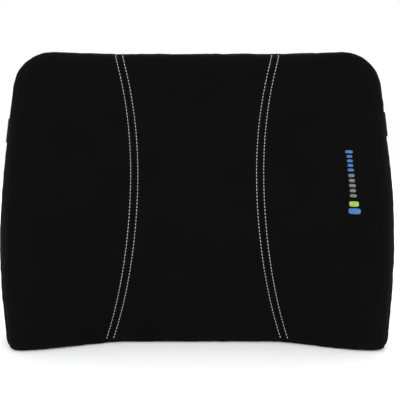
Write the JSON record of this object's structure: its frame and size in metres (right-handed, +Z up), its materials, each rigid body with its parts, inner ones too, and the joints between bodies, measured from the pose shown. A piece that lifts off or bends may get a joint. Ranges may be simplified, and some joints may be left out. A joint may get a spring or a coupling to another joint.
{
  "type": "lumbar support cushion",
  "caption": "Contoured lumbar cushion with forward wings, a three-panel topstitched front, a zipped back and an elastic chair strap with a side-release buckle.",
  "frame": {"origin": "on the floor plane of the flat base, under the middle of the bounding box of the cushion with its strap", "axes": "+X to the right seen from the front, +Z up, the sitter's side faces -Y and the flat back and its strap face +Y"},
  "size_m": [0.4, 0.1404, 0.3047],
  "materials": {
    "cover_fabric": "matte",
    "back_fabric": "matte",
    "memory_foam": "matte",
    "grey_thread": "matte",
    "emblem_thread": "matte",
    "zip_tape": "matte",
    "zip_coil": "satin",
    "zip_metal": "satin",
    "elastic_webbing": "matte",
    "black_acetal": "satin"
  },
  "bodies": {
    "cushion": {"front_centre_panel": "cover_fabric", "front_left_panel": "cover_fabric", "front_right_panel": "cover_fabric", "top_gusset": "cover_fabric", "base_gusset": "cover_fabric", "side_gusset_left": "cover_fabric", "side_gusset_right": "cover_fabric", "back_upper_panel": "back_fabric", "back_lower_panel": "back_fabric", "foam_core": "memory_foam", "topstitch_left_outer": "grey_thread", "topstitch_left_inner": "grey_thread", "topstitch_right_inner": "grey_thread", "topstitch_right_outer": "grey_thread", "emblem_patch": "emblem_thread", "zip_tape_upper": "zip_tape", "zip_tape_lower": "zip_tape", "zip_coil_upper": "zip_coil", "zip_coil_lower": "zip_coil", "zip_stop_left": "zip_metal", "zip_stop_right": "zip_metal", "strap_left": "elastic_webbing", "strap_right": "elastic_webbing"},
    "strap_buckle": {"buckle_female": "black_acetal", "buckle_male": "black_acetal"},
    "latch_upper": {"buckle_arm_upper": "black_acetal"},
    "latch_lower": {"buckle_arm_lower": "black_acetal"},
    "strap_adjuster": {"tri_glide": "black_acetal"},
    "zip_runner": {"zip_slider": "zip_metal"},
    "zip_tab": {"zip_pull": "zip_metal"}
  },
  "joints": [
    {"name": "strap_stretch", "type": "slide", "parent": "cushion", "child": "strap_buckle", "axis": [0, 1, 0], "range_m": [0, 0.06], "stiffness_N_per_m": 60, "deforming": ["strap_left", "strap_right"]},
    {"name": "latch_arm_upper", "type": "hinge", "parent": "strap_buckle", "child": "latch_upper", "pos_m": [0.0012, 0.06572, 0.22509], "axis": [0, -1, 0], "range_deg": [0, 14], "stiffness_Nm_per_rad": 0.1},
    {"name": "latch_arm_lower", "type": "hinge", "parent": "strap_buckle", "child": "latch_lower", "pos_m": [0.0012, 0.06572, 0.20659], "axis": [0, 1, 0], "range_deg": [0, 14], "stiffness_Nm_per_rad": 0.1},
    {"name": "tri_glide_slide", "type": "slide", "parent": "strap_buckle", "child": "strap_adjuster", "axis": [1, 0, 0], "range_m": [0, 0.03]},
    {"name": "zip_slide", "type": "slide", "parent": "cushion", "child": "zip_runner", "axis": [-1, 0, 0], "range_m": [0, 0.2304]},
    {"name": "zip_pull_swing", "type": "hinge", "parent": "zip_runner", "child": "zip_tab", "pos_m": [0.1152, 0.03832, 0.04], "axis": [0, 0, -1], "range_deg": [0, 170]}
  ]
}
